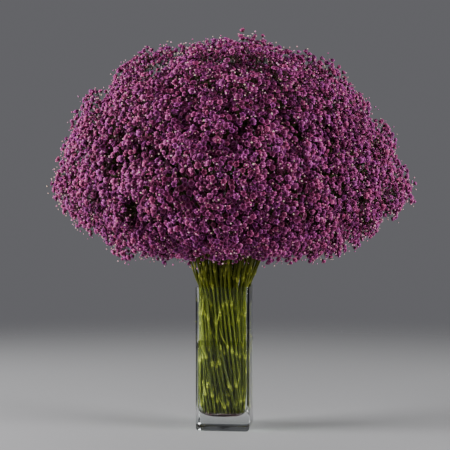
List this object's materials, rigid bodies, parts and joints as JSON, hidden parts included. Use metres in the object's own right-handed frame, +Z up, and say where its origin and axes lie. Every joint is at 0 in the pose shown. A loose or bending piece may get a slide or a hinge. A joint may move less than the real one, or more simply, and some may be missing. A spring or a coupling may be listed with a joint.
{
  "type": "gypsophila bunch in a glass vase",
  "caption": "Round dome-shaped bunch of dyed double gypsophila standing in water in a tall square clear glass vase.",
  "frame": {"origin": "middle of the vase's flat resting face", "axes": "+Z up along the vase, +X and +Y square to the vase's sides, -Y towards the picture's front"},
  "size_m": [0.6732, 0.6699, 0.7461],
  "materials": {
    "clear_glass": "clear polished pressed glass with a heavy base",
    "water": "clear vase water, faintly tinted by the dye near the floor",
    "green_stem": "fresh yellow-green flower stem, satin",
    "dyed_petals": "matt petals dyed magenta purple, paler at the rims"
  },
  "bodies": {
    "root": {"vase": "clear_glass", "water": "water", "florets_01": "dyed_petals", "florets_02": "dyed_petals", "florets_03": "dyed_petals", "florets_04": "dyed_petals", "florets_05": "dyed_petals", "florets_06": "dyed_petals", "florets_07": "dyed_petals", "florets_08": "dyed_petals", "florets_09": "dyed_petals", "florets_10": "dyed_petals", "florets_11": "dyed_petals", "florets_12": "dyed_petals", "florets_13": "dyed_petals", "florets_14": "dyed_petals", "florets_15": "dyed_petals", "florets_16": "dyed_petals", "florets_17": "dyed_petals", "florets_18": "dyed_petals", "florets_19": "dyed_petals", "florets_20": "dyed_petals", "florets_21": "dyed_petals", "florets_22": "dyed_petals", "florets_23": "dyed_petals", "florets_24": "dyed_petals", "florets_25": "dyed_petals", "florets_26": "dyed_petals", "florets_27": "dyed_petals", "florets_28": "dyed_petals", "stems_01": "green_stem", "stems_02": "green_stem", "stems_03": "green_stem", "stems_04": "green_stem", "stems_05": "green_stem", "stems_06": "green_stem", "stems_07": "green_stem", "stems_08": "green_stem", "stems_09": "green_stem", "stems_10": "green_stem", "stems_11": "green_stem", "stems_12": "green_stem", "stems_13": "green_stem", "stems_14": "green_stem", "stems_15": "green_stem", "stems_16": "green_stem", "stems_17": "green_stem", "stems_18": "green_stem", "stems_19": "green_stem", "stems_20": "green_stem", "stems_21": "green_stem", "stems_22": "green_stem", "stems_23": "green_stem", "stems_24": "green_stem", "stems_25": "green_stem", "stems_26": "green_stem", "stems_27": "green_stem", "stems_28": "green_stem"}
  },
  "joints": []
}
